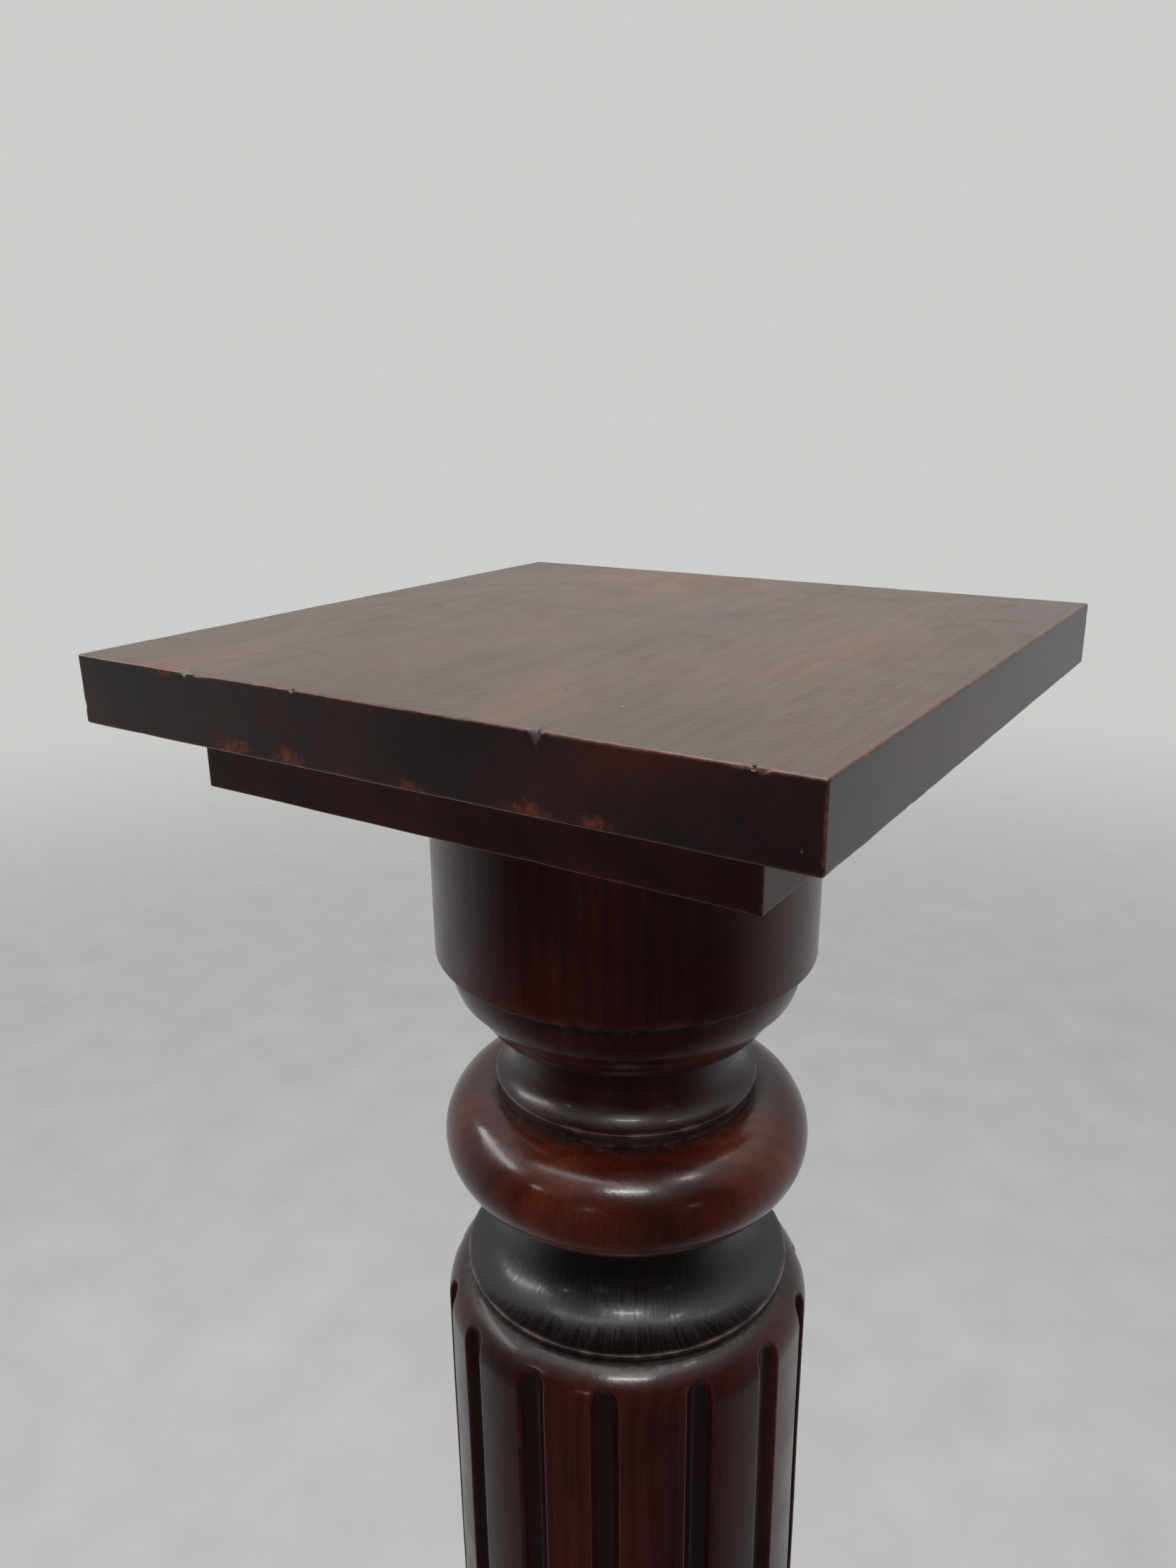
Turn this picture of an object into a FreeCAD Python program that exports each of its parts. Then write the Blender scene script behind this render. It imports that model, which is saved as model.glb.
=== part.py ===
"""Fluted display plinth: a square board on a turned, fluted mahogany column and a stepped square base.

Every turned block has a spigot below and a socket above, and one steel tie rod clamps the whole column.
Millimetres; +Z is up; the origin is on the floor, on the column's axis.
"""
import FreeCAD, Part
import os
import re
import Sketcher

V = FreeCAD.Vector

# Driving dimensions: name, value, meaning
SIZES = (
    ("overall_height", 1200.0, "floor to the display surface"),
    # square boards
    ("board_side", 280.0, "display board, square"),
    ("board_thickness", 25.0, "display board"),
    ("board_arris", 1.2, "rounding along the display board's edges"),
    ("bearer_side", 224.0, "bearer under the display board, square"),
    ("bearer_thickness", 27.0, "bearer"),
    ("step_side", 250.0, "upper square of the base"),
    ("step_thickness", 30.0, "upper square of the base"),
    ("foot_side", 330.0, "lower square of the base"),
    ("foot_thickness", 40.0, "lower square of the base"),
    ("small_arris", 0.8, "rounding along the bearer's and the base boards' edges"),
    # capital drum and its bands
    ("drum_radius", 79.2, "plain drum"),
    ("drum_height", 77.5, "plain drum"),
    ("drum_arris", 0.9, "rounding at the foot of the drum"),
    ("quirk_radius", 75.0, "upright fillet right under the drum"),
    ("quirk_height", 3.2, "upright fillet right under the drum"),
    ("ovolo_top_radius", 73.6, "rounded band, top"),
    ("ovolo_swell", 0.9, "how far the rounded band stands out of a straight taper"),
    ("ovolo_foot_radius", 70.6, "rounded band, foot"),
    ("ovolo_height", 14.3, "rounded band"),
    ("band_top_radius", 68.0, "lowest band, top"),
    ("band_swell", 0.8, "how far the lowest band stands out of a straight taper"),
    ("band_foot_radius", 59.4, "lowest band, foot"),
    ("band_height", 14.0, "lowest band"),
    # neck and collar
    ("neck_top_radius", 47.0, "neck where it leaves the drum"),
    ("neck_bow", 0.3, "how far the neck is hollowed between the drum and its flare"),
    ("neck_waist_radius", 48.0, "neck where it starts to flare"),
    ("neck_waist_height", 17.6, "start of the flare above the collar's foot"),
    ("neck_flare_out", 2.3, "middle of the flare, out from where it starts"),
    ("neck_flare_drop", 7.0, "middle of the flare, down from where it starts"),
    ("collar_radius", 56.3, "sharp upper edge of the collar"),
    ("collar_foot_radius", 55.2, "foot of the collar"),
    ("collar_height", 6.2, "edge of the collar"),
    ("neck_height", 34.0, "neck and collar together"),
    # capital torus
    ("torus_radius", 78.8, "widest"),
    ("torus_height", 43.2, "torus without the ring under it"),
    ("torus_top_radius", 60.0, "where the round starts"),
    ("torus_foot_radius", 62.0, "where the round ends"),
    ("ring_radius", 61.2, "thin ring under the torus"),
    ("ring_height", 2.0, "thin ring under the torus"),
    # coves at both ends of the shaft
    ("cove_top_radius", 50.5, "cove where it meets the ring"),
    ("cove_bow", 0.6, "how far the cove is hollowed between the ring and its bend"),
    ("cove_bend", 23.4, "quarter-round bend out to the disc's edge"),
    ("cove_height", 40.0, "hollow part of the cove"),
    ("disc_radius", 71.9, "sharp edge where the cove ends"),
    ("disc_foot_radius", 71.0, "foot of the disc, on the shaft"),
    ("disc_height", 5.5, "edge of the disc"),
    ("base_cove_height", 44.0, "hollow part of the base cove"),
    ("base_fillet_radius", 82.0, "upright fillet at the foot of the base cove"),
    ("base_fillet_height", 4.0, "upright fillet at the foot of the base cove"),
    ("base_fillet_ledge", 3.0, "flat top of that fillet"),
    ("base_cove_bend", 23.0, "quarter-round bend up from the fillet"),
    # base torus
    ("base_torus_radius", 106.0, "widest"),
    ("base_torus_height", 50.0, "base torus"),
    ("base_torus_top_radius", 88.0, "where the round starts"),
    ("base_torus_foot_radius", 92.0, "where the round ends"),
    # fluted shaft
    ("shaft_radius", 81.4, "shaft between the flutes"),
    ("shoulder_round", 20.0, "radius that the ends of the shaft are rounded to"),
    ("shoulder_width", 9.9, "how far the rounding comes in from the side of the shaft"),
    ("flute_radius", 5.75, "round-nosed cutter that cuts the flutes"),
    ("flute_bite", 5.5, "depth of a flute"),
    ("flute_stop", 4.8, "from the end of the shaft to the tip of a flute's round end"),
    ("flute_azimuth", -61.6, "first flute, in degrees about +Z from +X"),
    # spigot joints and the tie rod
    ("spigot_radius", 20.0, "turned spigots"),
    ("spigot_length", 14.0, "turned spigots"),
    ("socket_gap", 0.15, "clearance round a spigot"),
    ("socket_end_gap", 1.0, "clearance past the end of a spigot"),
    ("rod_radius", 5.0, "steel tie rod"),
    ("rod_gap", 2.0, "clearance between the rod and the bore through the column"),
    ("rod_stub", 3.0, "rod that stands out of each nut"),
    ("nut_flats_radius", 8.5, "half the size across the nut's flats"),
    ("nut_height", 8.0, "hexagon nut"),
    ("washer_radius", 15.0, "washer"),
    ("washer_thickness", 2.0, "washer"),
    ("nut_well_radius", 18.0, "well that the nut and washer sit in"),
    ("nut_well_depth", 20.0, "well that the nut and washer sit in"),
    # countersunk wood screws
    ("screw_radius", 2.5, "shank"),
    ("screw_head_radius", 5.2, "countersunk head"),
    ("screw_head_height", 3.2, "countersunk head"),
    ("screw_point", 5.0, "tapered point"),
    ("screw_slot_width", 1.2, "slot in the head"),
    ("screw_slot_depth", 1.4, "slot in the head"),
    ("screw_hole_gap", 0.3, "clearance round a shank in the board it holds"),
    ("pilot_end_gap", 1.5, "pilot hole past the end of a screw"),
    ("board_screw_length", 45.0, "bearer to display board"),
    ("board_screw_ring", 130.0, "distance of the display board's screws from the column's axis"),
    ("bearer_screw_length", 50.0, "bearer to drum"),
    ("bearer_screw_ring", 50.0, "distance of the bearer's screws from the column's axis"),
    ("foot_screw_length", 60.0, "lower square to upper square"),
    ("foot_screw_ring", 140.0, "distance of the foot's screws from the column's axis"),
    # floor pads
    ("pad_radius", 16.0, "felt pad"),
    ("pad_thickness", 3.0, "felt pad"),
    ("pad_ring", 195.0, "distance of the pads from the column's axis"),
)
# The flutes were set out by eye: how far each one strays from an even pitch, in degrees
FLUTE_SHIFTS = (-3.4, 0.5, 2.2, 3.5, 2.9, 2.3, 1.7, 1.1, 0.5, -0.2, -0.8, -1.4, -2.0, -3.5, -2.0)
DIAGONAL = 45.0
CORNERS = 4
AXIS_LENGTH = "10"  # of the construction line that an outline is turned about

doc = FreeCAD.newDocument("display_plinth")
sheet = doc.addObject("Spreadsheet::Sheet", "Sizes")
rows = list(SIZES)
rows += [("flute_shift_%s" % chr(97 + n), shift, "stray of flute %d" % (n + 1))
         for n, shift in enumerate(FLUTE_SHIFTS)]
for line, (alias, number, meaning) in enumerate(rows, start=1):
    sheet.set("A%d" % line, meaning)
    sheet.set("B%d" % line, str(number))
    sheet.setAlias("B%d" % line, alias)
doc.recompute()


def bound(text):
    """An expression over the sheet's aliases, as FreeCAD wants it: each name is given its sheet."""
    return re.sub(r"\b([a-z]+_[a-z_]+)\b", r"Sizes.\1", text)


def number(text):
    """The value that such an expression has now."""
    return float(sheet.evalExpression(bound(text)))


def new_body(label, level="0", compound=False):
    """One named piece, whose own origin stands at the given height on the column's axis."""
    body = doc.addObject("PartDesign::Body", label)
    body.Label = label
    body.AllowCompound = compound
    body.setExpression("Placement.Base.z", bound(level))
    return body


def plane(body, role):
    return [item for item in body.Origin.OriginFeatures if item.Role == role][0]


def upright_sketch(body, name, outline, axis="0", azimuth="0"):
    """A closed outline in an upright plane through the column's axis, turned to an azimuth.

    Each row is (radius, height), or (radius, height, "crest") for a point that an arc passes through
    between its two neighbours. The outline is later turned about an upright line at the axis radius.
    """
    sketch = body.newObject("Sketcher::SketchObject", name)
    sketch.AttachmentSupport = [(plane(body, "XZ_Plane"), "")]
    sketch.MapMode = "FlatFace"
    sketch.AttachmentOffset = FreeCAD.Placement(V(), FreeCAD.Rotation(V(0, 1, 0), number(azimuth) + 360))
    if azimuth != "0":
        sketch.setExpression("AttachmentOffset.Rotation.Angle", bound("(%s + 360) * 1 deg" % azimuth))
    places = [V(number(row[0]), number(row[1]), 0) for row in outline]
    corners = [n for n, row in enumerate(outline) if len(row) == 2]

    def pin(geometry, end, row):
        for kind, text in zip(("DistanceX", "DistanceY"), row):
            rule = sketch.addConstraint(Sketcher.Constraint(kind, -1, 1, geometry, end, number(text)))
            sketch.setExpression("Constraints[%d]" % rule, bound(text))

    ends = []
    for here, there in zip(corners, corners[1:] + corners[:1]):
        crest = (here + 1) % len(outline)
        if crest == there:
            piece = sketch.addGeometry(Part.LineSegment(places[here], places[there]), False)
            ends.append((piece, 1, 2))
            continue
        bend = (places[crest] - places[here]).cross(places[there] - places[here]).z
        first, last = (here, there) if bend > 0 else (there, here)
        piece = sketch.addGeometry(Part.Arc(places[first], places[crest], places[last]), False)
        ends.append((piece, 1, 2) if first == here else (piece, 2, 1))
        mark = sketch.addGeometry(Part.Point(places[crest]), True)
        pin(mark, 1, outline[crest][:2])
        sketch.addConstraint(Sketcher.Constraint("PointOnObject", mark, 1, piece))
    for n, corner in enumerate(corners):
        piece, start, _ = ends[n]
        before, _, finish = ends[n - 1]
        sketch.addConstraint(Sketcher.Constraint("Coincident", before, finish, piece, start))
        pin(piece, start, outline[corner])
    if axis != "0":
        line = Part.LineSegment(V(number(axis), 0, 0), V(number(axis), number(AXIS_LENGTH), 0))
        piece = sketch.addGeometry(line, True)
        pin(piece, 1, (axis, "0"))
        pin(piece, 2, (axis, AXIS_LENGTH))
    return sketch


def turn(body, name, outline, cut=False, axis="0", azimuth="0"):
    """Turn an outline about its upright axis: a solid is added, or a round hole is cut."""
    sketch = upright_sketch(body, name + "_outline", outline, axis, azimuth)
    kind = "PartDesign::Groove" if cut else "PartDesign::Revolution"
    feature = body.newObject(kind, name)
    feature.Profile = sketch
    feature.ReferenceAxis = (sketch, ["V_Axis" if axis == "0" else "Axis0"])
    feature.Angle = 360
    return feature


def around(body, feature):
    """Repeat a feature at the other three corners."""
    pattern = body.newObject("PartDesign::PolarPattern", feature.Name + "_ring")
    pattern.Originals = [feature]
    pattern.Axis = ([item for item in body.Origin.OriginFeatures if item.Role == "Z_Axis"][0], [""])
    pattern.Angle = 360
    pattern.Occurrences = CORNERS
    body.Tip = pattern


def block(body, side, thickness, arris):
    """A square board, centred on the axis, with every edge eased."""
    slab = body.newObject("PartDesign::AdditiveBox", "Board")
    slab.AttachmentSupport = [(plane(body, "XY_Plane"), "")]
    slab.MapMode = "FlatFace"
    for name, text in (("Length", side), ("Width", side), ("Height", thickness)):
        slab.setExpression(name, bound(text))
    for name in ("AttachmentOffset.Base.x", "AttachmentOffset.Base.y"):
        slab.setExpression(name, bound("-%s / 2" % side))
    doc.recompute()
    eased = body.newObject("PartDesign::Fillet", "Arrises")
    eased.Base = (slab, [""])
    eased.UseAllEdges = True
    eased.setExpression("Radius", bound(arris))
    doc.recompute()
    return eased


# Heights of the pieces' own origins: stacked up from the floor, and hung down from the display surface
FOOT_LEVEL = "pad_thickness"
STEP_LEVEL = FOOT_LEVEL + " + foot_thickness"
BASE_TORUS_LEVEL = STEP_LEVEL + " + step_thickness"
BASE_COVE_LEVEL = BASE_TORUS_LEVEL + " + base_torus_height"
SHAFT_LEVEL = BASE_COVE_LEVEL + " + base_cove_height + disc_height"
BOARD_LEVEL = "overall_height - board_thickness"
BEARER_LEVEL = BOARD_LEVEL + " - bearer_thickness"
BANDS_HEIGHT = "(quirk_height + ovolo_height + band_height)"
DRUM_LEVEL = BEARER_LEVEL + " - drum_height - " + BANDS_HEIGHT
NECK_LEVEL = DRUM_LEVEL + " - neck_height"
TORUS_LEVEL = NECK_LEVEL + " - torus_height - ring_height"
COVE_LEVEL = TORUS_LEVEL + " - cove_height - disc_height"
SHAFT_HEIGHT = "(%s - (%s))" % (COVE_LEVEL, SHAFT_LEVEL)

BORE = "rod_radius + rod_gap"
SOCKET = "spigot_radius + socket_gap"
SOCKET_DEPTH = "spigot_length + socket_end_gap"


def spigot_rows():
    """The inside of a turned block's outline, from the top of its bore down to the foot of its spigot."""
    return [(BORE, "-spigot_length"), ("spigot_radius", "-spigot_length"), ("spigot_radius", "0")]


def socket_rows(top):
    """The inside of a turned block's outline at its top: the socket that the next block's spigot fills."""
    floor = "%s - (%s)" % (top, SOCKET_DEPTH)
    return [(SOCKET, top), (SOCKET, floor), (BORE, floor)]


def turned_block(label, level, profile, top):
    """A block of the column, from its outside rows (foot first) and the height of its top face."""
    body = new_body(label, level)
    turn(body, "Turning", spigot_rows() + profile + socket_rows(top))
    return body


def capital_drum():
    """Plain drum over three bands, bored for the rod, with the well for its upper nut in the top."""
    body = new_body("capital_drum", DRUM_LEVEL)
    band_top = "band_height"
    ovolo_top = "band_height + ovolo_height"
    ovolo_middle = "(ovolo_foot_radius + ovolo_top_radius) / 2"
    drum_foot = BANDS_HEIGHT
    ease = "drum_arris * (1 - sqrt(0.5))"
    top = drum_foot + " + drum_height"
    well = top + " - nut_well_depth"
    rows_out = [
        ("band_foot_radius", "0"),
        ("(band_foot_radius + band_top_radius) / 2 + band_swell", "band_height / 2", "crest"),
        ("band_top_radius", band_top),
        ("ovolo_foot_radius", band_top),
        (ovolo_middle + " + ovolo_swell", band_top + " + ovolo_height / 2", "crest"),
        ("ovolo_top_radius", ovolo_top),
        ("quirk_radius", ovolo_top),
        ("quirk_radius", drum_foot),
        ("drum_radius - drum_arris", drum_foot),
        ("drum_radius - " + ease, drum_foot + " + " + ease, "crest"),
        ("drum_radius", drum_foot + " + drum_arris"),
        ("drum_radius", top),
        ("nut_well_radius", top),
        ("nut_well_radius", well),
        (BORE, well),
    ]
    turn(body, "Turning", spigot_rows() + rows_out)
    pilot_holes(body, "bearer_screw_ring", top, "bearer_screw_length - bearer_thickness", down=True)
    return body


def neck_collar():
    """Neck under the drum, which flares out to the sharp edge of a collar on the torus."""
    middle = "(neck_waist_height + neck_height) / 2"
    return turned_block("neck_collar", NECK_LEVEL, [
        ("collar_foot_radius", "0"),
        ("collar_radius", "collar_height"),
        ("neck_waist_radius + neck_flare_out", "neck_waist_height - neck_flare_drop", "crest"),
        ("neck_waist_radius", "neck_waist_height"),
        ("(neck_waist_radius + neck_top_radius) / 2 - neck_bow", middle, "crest"),
        ("neck_top_radius", "neck_height"),
    ], "neck_height")


def capital_torus():
    top = "ring_height + torus_height"
    return turned_block("capital_torus", TORUS_LEVEL, [
        ("ring_radius", "0"),
        ("ring_radius", "ring_height"),
        ("torus_foot_radius", "ring_height"),
        ("torus_radius", "ring_height + torus_height / 2", "crest"),
        ("torus_top_radius", top),
    ], top)


def capital_cove():
    """Deep cove under the capital, which bends out to the sharp edge of a thin disc on the shaft."""
    top = "disc_height + cove_height"
    waist = "(disc_radius - cove_bend)"
    bend_top = "disc_height + cove_bend"
    return turned_block("capital_cove", COVE_LEVEL, [
        ("disc_foot_radius", "0"),
        ("disc_radius", "disc_height"),
        ("disc_radius - cove_bend * sqrt(0.5)", bend_top + " - cove_bend * sqrt(0.5)", "crest"),
        (waist, bend_top),
        ("(%s + cove_top_radius) / 2 - cove_bow" % waist, "(%s + %s) / 2" % (bend_top, top), "crest"),
        ("cove_top_radius", top),
    ], top)


def base_cove():
    """The cove upside down under the shaft, with a larger bend out to a fillet on the base torus."""
    top = "base_cove_height + disc_height"
    ledge = "(base_fillet_radius - base_fillet_ledge)"
    waist = ledge + " - base_cove_bend"
    lower = "(base_fillet_height + base_cove_bend)"
    bend = "(disc_radius - (%s))" % waist
    upper = "(base_cove_height - %s)" % bend
    return turned_block("base_cove", BASE_COVE_LEVEL, [
        ("base_fillet_radius", "0"),
        ("base_fillet_radius", "base_fillet_height"),
        (ledge, "base_fillet_height"),
        (ledge + " - base_cove_bend * sqrt(0.5)", lower + " - base_cove_bend * sqrt(0.5)", "crest"),
        (waist, lower),
        (waist, upper),
        ("disc_radius - %s * sqrt(0.5)" % bend, upper + " + %s * sqrt(0.5)" % bend, "crest"),
        ("disc_radius", "base_cove_height"),
        ("disc_foot_radius", top),
    ], top)


def base_torus():
    return turned_block("base_torus", BASE_TORUS_LEVEL, [
        ("base_torus_foot_radius", "0"),
        ("base_torus_radius", "base_torus_height / 2", "crest"),
        ("base_torus_top_radius", "base_torus_height"),
    ], "base_torus_height")


def fluted_shaft():
    """The shaft: rounded at both ends, with round-ended flutes that run out on its shoulders."""
    top = SHAFT_HEIGHT
    end_radius = "shaft_radius - shoulder_width"
    shoulder_height = "sqrt(shoulder_round ^ 2 - (shoulder_round - shoulder_width) ^ 2)"
    # the middle of the rounding, half its angle round from the side of the shaft
    half = "shoulder_width / (2 * shoulder_round)"
    crest_radius = "shaft_radius - shoulder_round * (1 - sqrt(1 - %s))" % half
    crest_height = "(%s - shoulder_round * sqrt(%s))" % (shoulder_height, half)
    body = turned_block("fluted_shaft", SHAFT_LEVEL, [
        (end_radius, "0"),
        (crest_radius, crest_height, "crest"),
        ("shaft_radius", shoulder_height),
        ("shaft_radius", "%s - %s" % (top, shoulder_height)),
        (crest_radius, "%s - %s" % (top, crest_height), "crest"),
        (end_radius, top),
    ], top)
    axis = "shaft_radius + flute_radius - flute_bite"
    reach = "%s + flute_radius" % axis
    nose = "flute_radius * sqrt(0.5)"
    low = "flute_stop"
    high = top + " - flute_stop"
    for n in range(len(FLUTE_SHIFTS)):
        azimuth = "flute_azimuth + %g + flute_shift_%s" % (n * 360.0 / len(FLUTE_SHIFTS), chr(97 + n))
        turn(body, "Flute%02d" % (n + 1), [
            (axis, low),
            (axis + " + " + nose, low + " + flute_radius - " + nose, "crest"),
            (reach, low + " + flute_radius"),
            (reach, high + " - flute_radius"),
            (axis + " + " + nose, high + " - flute_radius + " + nose, "crest"),
            (axis, high),
        ], cut=True, axis=axis, azimuth=azimuth)
    return body


def pilot_holes(body, ring, face, depth, down=False):
    """Four holes for the points of screws, cut in from a face on the diagonals."""
    sign = "-" if down else "+"
    end = "%s %s (%s + pilot_end_gap)" % (face, sign, depth)
    rows_in = [(ring, face), (ring + " + screw_radius", face), (ring + " + screw_radius", end), (ring, end)]
    hole = turn(body, "Pilot_" + ring, rows_in, cut=True, axis=ring, azimuth=str(DIAGONAL))
    around(body, hole)


def screw_holes(body, ring, thickness, down=False):
    """Four countersunk clearance holes through a board, with their heads on its underside or its top."""
    def height(text):
        return "%s - (%s)" % (thickness, text) if down else text
    hole_radius = ring + " + screw_radius + screw_hole_gap"
    rows_in = [
        (ring, height("0")),
        (ring + " + screw_head_radius", height("0")),
        (hole_radius, height("screw_head_height - screw_hole_gap")),
        (hole_radius, height(thickness)),
        (ring, height(thickness)),
    ]
    hole = turn(body, "Hole_" + ring, rows_in, cut=True, axis=ring, azimuth=str(DIAGONAL))
    around(body, hole)


def wood_screws(label, level, ring, length, down=False):
    """Four slotted countersunk screws; their own origin is the face that their heads lie flush with."""
    def height(text):
        return "-(%s)" % text if down else text
    body = new_body(label, level, compound=True)
    rows_out = [
        (ring, height("0")),
        (ring + " + screw_head_radius", height("0")),
        (ring + " + screw_radius", height("screw_head_height")),
        (ring + " + screw_radius", height(length + " - screw_point")),
        (ring + " + screw_radius / 4", height(length)),
        (ring, height(length)),
    ]
    around(body, turn(body, "Screw", rows_out, axis=ring, azimuth=str(DIAGONAL)))
    doc.recompute()
    for n in range(CORNERS):
        slot = body.newObject("PartDesign::SubtractiveBox", "Slot%d" % n)
        slot.AttachmentSupport = [(plane(body, "XY_Plane"), "")]
        slot.MapMode = "FlatFace"
        slot.setExpression("Length", bound("screw_head_radius * 2"))
        slot.setExpression("Width", bound("screw_slot_width"))
        slot.setExpression("Height", bound("screw_slot_depth"))
        side, end = ((1, 1), (1, -1), (-1, 1), (-1, -1))[n]
        centre = "%d * " + ring + " * sqrt(0.5)"
        slot.setExpression("AttachmentOffset.Base.x", bound(centre % side + " - screw_head_radius"))
        slot.setExpression("AttachmentOffset.Base.y", bound(centre % end + " - screw_slot_width / 2"))
        slot.setExpression("AttachmentOffset.Base.z", bound("-screw_slot_depth" if down else "0"))
    return body


def display_board():
    body = new_body("display_board", BOARD_LEVEL)
    block(body, "board_side", "board_thickness", "board_arris")
    pilot_holes(body, "board_screw_ring", "0", "board_screw_length - bearer_thickness")
    return body


def bearer():
    body = new_body("bearer", BEARER_LEVEL)
    block(body, "bearer_side", "bearer_thickness", "small_arris")
    screw_holes(body, "board_screw_ring", "bearer_thickness")
    screw_holes(body, "bearer_screw_ring", "bearer_thickness", down=True)
    return body


def base_step():
    """Upper square of the base, with the socket for the base torus's spigot and the bore for the rod."""
    body = new_body("base_step", STEP_LEVEL)
    block(body, "step_side", "step_thickness", "small_arris")
    turn(body, "Socket", [("0", "step_thickness")] + socket_rows("step_thickness")
         + [(BORE, "0"), ("0", "0")], cut=True)
    pilot_holes(body, "foot_screw_ring", "0", "foot_screw_length - foot_thickness")
    return body


def base_foot():
    """Lower square of the base, with the well for the rod's lower nut in its underside."""
    body = new_body("base_foot", FOOT_LEVEL)
    block(body, "foot_side", "foot_thickness", "small_arris")
    turn(body, "Well", [
        ("0", "0"),
        ("nut_well_radius", "0"),
        ("nut_well_radius", "nut_well_depth"),
        (BORE, "nut_well_depth"),
        (BORE, "foot_thickness"),
        ("0", "foot_thickness"),
    ], cut=True)
    screw_holes(body, "foot_screw_ring", "foot_thickness")
    return body


LOWER_SEAT = FOOT_LEVEL + " + nut_well_depth"
UPPER_SEAT = BEARER_LEVEL + " - nut_well_depth"


def round_stock(body, name, radius, base, height, cut=False):
    kind = "PartDesign::SubtractiveCylinder" if cut else "PartDesign::AdditiveCylinder"
    bar = body.newObject(kind, name)
    bar.AttachmentSupport = [(plane(body, "XY_Plane"), "")]
    bar.MapMode = "FlatFace"
    bar.setExpression("Radius", bound(radius))
    bar.setExpression("Height", bound(height))
    bar.setExpression("AttachmentOffset.Base.z", bound(base))
    return bar


def tie_rod():
    over = "(washer_thickness + nut_height + rod_stub)"
    body = new_body("tie_rod", LOWER_SEAT + " - " + over)
    round_stock(body, "Rod", "rod_radius", "0", "%s - (%s) + 2 * %s" % (UPPER_SEAT, LOWER_SEAT, over))
    return body


def tie_rod_washers():
    body = new_body("tie_rod_washers", LOWER_SEAT + " - washer_thickness", compound=True)
    span = "%s - (%s) + washer_thickness" % (UPPER_SEAT, LOWER_SEAT)
    round_stock(body, "LowerWasher", "washer_radius", "0", "washer_thickness")
    round_stock(body, "UpperWasher", "washer_radius", span, "washer_thickness")
    round_stock(body, "Bore", "rod_radius", "0", span + " + washer_thickness", cut=True)
    return body


def tie_rod_nuts():
    body = new_body("tie_rod_nuts", LOWER_SEAT + " - washer_thickness - nut_height", compound=True)
    span = "%s - (%s) + 2 * washer_thickness + nut_height" % (UPPER_SEAT, LOWER_SEAT)
    for name, base in (("LowerNut", "0"), ("UpperNut", span)):
        nut = body.newObject("PartDesign::AdditivePrism", name)
        nut.AttachmentSupport = [(plane(body, "XY_Plane"), "")]
        nut.MapMode = "FlatFace"
        nut.Polygon = 6
        nut.setExpression("Circumradius", bound("nut_flats_radius / cos(30 deg)"))
        nut.setExpression("Height", bound("nut_height"))
        nut.setExpression("AttachmentOffset.Base.z", bound(base))
    round_stock(body, "Bore", "rod_radius", "0", span + " + nut_height", cut=True)
    return body


def floor_pads():
    body = new_body("floor_pads", "0", compound=True)
    pad = turn(body, "Pad", [
        ("pad_ring", "0"),
        ("pad_ring + pad_radius", "0"),
        ("pad_ring + pad_radius", "pad_thickness"),
        ("pad_ring", "pad_thickness"),
    ], axis="pad_ring", azimuth=str(DIAGONAL))
    around(body, pad)
    return body


pieces = [
    display_board(),
    bearer(),
    wood_screws("display_board_screws", BEARER_LEVEL, "board_screw_ring", "board_screw_length"),
    wood_screws("bearer_screws", BOARD_LEVEL, "bearer_screw_ring", "bearer_screw_length", down=True),
    capital_drum(),
    neck_collar(),
    capital_torus(),
    capital_cove(),
    fluted_shaft(),
    base_cove(),
    base_torus(),
    base_step(),
    base_foot(),
    wood_screws("base_foot_screws", FOOT_LEVEL, "foot_screw_ring", "foot_screw_length"),
    tie_rod(),
    tie_rod_washers(),
    tie_rod_nuts(),
    floor_pads(),
]
doc.recompute()

EXPECTED_SOLIDS = {"display_board_screws": CORNERS, "bearer_screws": CORNERS, "base_foot_screws": CORNERS,
                   "tie_rod_washers": 2, "tie_rod_nuts": 2, "floor_pads": CORNERS}
for item in doc.Objects:
    if "Invalid" in item.State or "Error" in item.State:
        raise RuntimeError("%s did not build: %s" % (item.Name, item.State))
for piece in pieces:
    shape = piece.Shape
    if shape.isNull() or not shape.isValid():
        raise RuntimeError("%s has no valid shape" % piece.Label)
    if len(shape.Solids) != EXPECTED_SOLIDS.get(piece.Label, 1):
        raise RuntimeError("%s has %d solids" % (piece.Label, len(shape.Solids)))

os.makedirs("parts", exist_ok=True)
for piece in pieces:
    piece.Shape.exportStep(os.path.join("parts", piece.Label + ".step"))
    box = piece.Shape.optimalBoundingBox()
    print("%-22s solids %d  z %.1f to %.1f  volume %.0f" % (
        piece.Label, len(piece.Shape.Solids), box.ZMin, box.ZMax, piece.Shape.Volume))
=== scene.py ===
"""Looks of the fluted display plinth: French-polished mahogany, worn and darkened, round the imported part.

Blender works in metres, in the row frame. Sizes in this script are millimetres over MM.
"""
import math

import bpy
import numpy as np
from mathutils import Matrix, Vector, noise


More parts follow.
